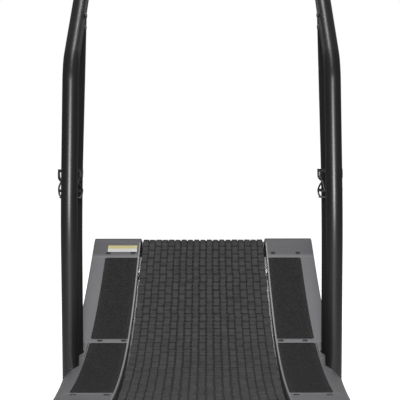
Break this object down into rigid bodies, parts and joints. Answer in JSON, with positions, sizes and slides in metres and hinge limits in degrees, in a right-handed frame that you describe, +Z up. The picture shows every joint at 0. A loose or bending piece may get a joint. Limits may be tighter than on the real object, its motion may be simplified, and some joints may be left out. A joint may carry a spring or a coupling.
{
  "type": "curved manual treadmill",
  "caption": "Self-powered treadmill with a curved slat belt, moulded side covers, bent tube handrails, bottle cages and a tilting console.",
  "frame": {"origin": "on the floor, on the machine's centre line, under the middle of its length; the bottle cages put the middle of the whole box 3.6 mm to the left of it", "axes": "+X to the runner's right, +Y forwards towards the console, +Z up; the length runs along Y"},
  "size_m": [0.8372, 1.8352, 1.6375],
  "materials": {
    "frame_paint": "satin dark grey powder coat",
    "bare_steel": "satin",
    "slat_rubber": "matt moulded tread",
    "cover_grey": "fine-grained satin grey",
    "grip_grit": "matt grit",
    "label_stock": "satin film",
    "satin_black": "satin black powder coat",
    "black_plastic": "satin",
    "lens_tint": "clear gloss over a dark panel",
    "moulded_rubber": "matt"
  },
  "bodies": {
    "frame": {"base_rail_left": "frame_paint", "base_rail_right": "frame_paint", "cross_member_front": "frame_paint", "cross_member_middle": "frame_paint", "cross_member_rear": "frame_paint", "side_plate_left": "frame_paint", "side_plate_right": "frame_paint", "foot_plate_left": "frame_paint", "foot_plate_right": "frame_paint", "console_clamp": "frame_paint", "wheel_bracket_left": "frame_paint", "wheel_bracket_right": "frame_paint", "roller_track_left": "bare_steel", "roller_track_right": "bare_steel", "front_bearing_left": "bare_steel", "front_bearing_right": "bare_steel", "rear_bearing_left": "bare_steel", "rear_bearing_right": "bare_steel", "slat_belt": "slat_rubber", "front_cap_left": "cover_grey", "front_cap_right": "cover_grey", "front_cover_left": "cover_grey", "front_cover_right": "cover_grey", "post_shroud_left": "cover_grey", "post_shroud_right": "cover_grey", "rear_cover_left": "cover_grey", "rear_cover_right": "cover_grey", "rear_cap_left": "cover_grey", "rear_cap_right": "cover_grey", "front_guard": "cover_grey", "front_grip_pad_left": "grip_grit", "front_grip_pad_right": "grip_grit", "rear_grip_pad_left": "grip_grit", "rear_grip_pad_right": "grip_grit", "blank_label": "label_stock", "handrail_left": "satin_black", "handrail_right": "satin_black", "front_post_left": "satin_black", "front_post_right": "satin_black", "console_crossbar": "satin_black", "lift_handle": "satin_black", "bottle_cage_left": "black_plastic", "bottle_cage_right": "black_plastic"},
    "front_axle": {"front_shaft": "bare_steel", "front_pulley_left": "frame_paint", "front_pulley_right": "frame_paint"},
    "rear_axle": {"rear_shaft": "bare_steel", "rear_pulley_left": "frame_paint", "rear_pulley_right": "frame_paint"},
    "wheel_left": {"transport_wheel_left": "moulded_rubber"},
    "wheel_right": {"transport_wheel_right": "moulded_rubber"},
    "front_foot_left": {"front_foot_left": "moulded_rubber"},
    "front_foot_right": {"front_foot_right": "moulded_rubber"},
    "rear_foot_left": {"rear_foot_left": "moulded_rubber"},
    "rear_foot_right": {"rear_foot_right": "moulded_rubber"},
    "console": {"console_housing": "black_plastic", "console_window": "lens_tint"},
    "button_1": {"console_button_1": "moulded_rubber"},
    "button_2": {"console_button_2": "moulded_rubber"},
    "button_3": {"console_button_3": "moulded_rubber"}
  },
  "joints": [
    {"name": "front_axle_spin", "type": "hinge", "parent": "frame", "child": "front_axle", "pos_m": [0, 0.79946, 0.40877], "axis": [1, 0, 0], "continuous": true},
    {"name": "rear_axle_spin", "type": "hinge", "parent": "frame", "child": "rear_axle", "pos_m": [0, -0.79749, 0.18149], "axis": [1, 0, 0], "continuous": true},
    {"name": "wheel_spin_left", "type": "hinge", "parent": "frame", "child": "wheel_left", "pos_m": [-0.3245, 0.87156, 0.046], "axis": [1, 0, 0], "continuous": true},
    {"name": "wheel_spin_right", "type": "hinge", "parent": "frame", "child": "wheel_right", "pos_m": [0.3245, 0.87156, 0.046], "axis": [1, 0, 0], "continuous": true},
    {"name": "front_foot_turn_left", "type": "hinge", "parent": "frame", "child": "front_foot_left", "pos_m": [-0.385, 0.78756, 0.014], "axis": [0, 0, 1], "continuous": true},
    {"name": "front_foot_turn_right", "type": "hinge", "parent": "frame", "child": "front_foot_right", "pos_m": [0.385, 0.78756, 0.014], "axis": [0, 0, 1], "continuous": true},
    {"name": "rear_foot_turn_left", "type": "hinge", "parent": "frame", "child": "rear_foot_left", "pos_m": [-0.385, -0.78756, 0.014], "axis": [0, 0, 1], "continuous": true},
    {"name": "rear_foot_turn_right", "type": "hinge", "parent": "frame", "child": "rear_foot_right", "pos_m": [0.385, -0.78756, 0.014], "axis": [0, 0, 1], "continuous": true},
    {"name": "console_tilt", "type": "hinge", "parent": "frame", "child": "console", "pos_m": [0, 0.58206, 1.548], "axis": [1, 0, 0], "range_deg": [-15, 15]},
    {"name": "button_1_press", "type": "slide", "parent": "console", "child": "button_1", "axis": [0, 0.9397, -0.342], "range_m": [0, 0.0015], "stiffness_N_per_m": 800},
    {"name": "button_2_press", "type": "slide", "parent": "console", "child": "button_2", "axis": [0, 0.9397, -0.342], "range_m": [0, 0.0015], "stiffness_N_per_m": 800},
    {"name": "button_3_press", "type": "slide", "parent": "console", "child": "button_3", "axis": [0, 0.9397, -0.342], "range_m": [0, 0.0015], "stiffness_N_per_m": 800}
  ],
  "couplings": [
    {"joint": "rear_axle_spin", "follows": "front_axle_spin", "ratio": 1}
  ]
}
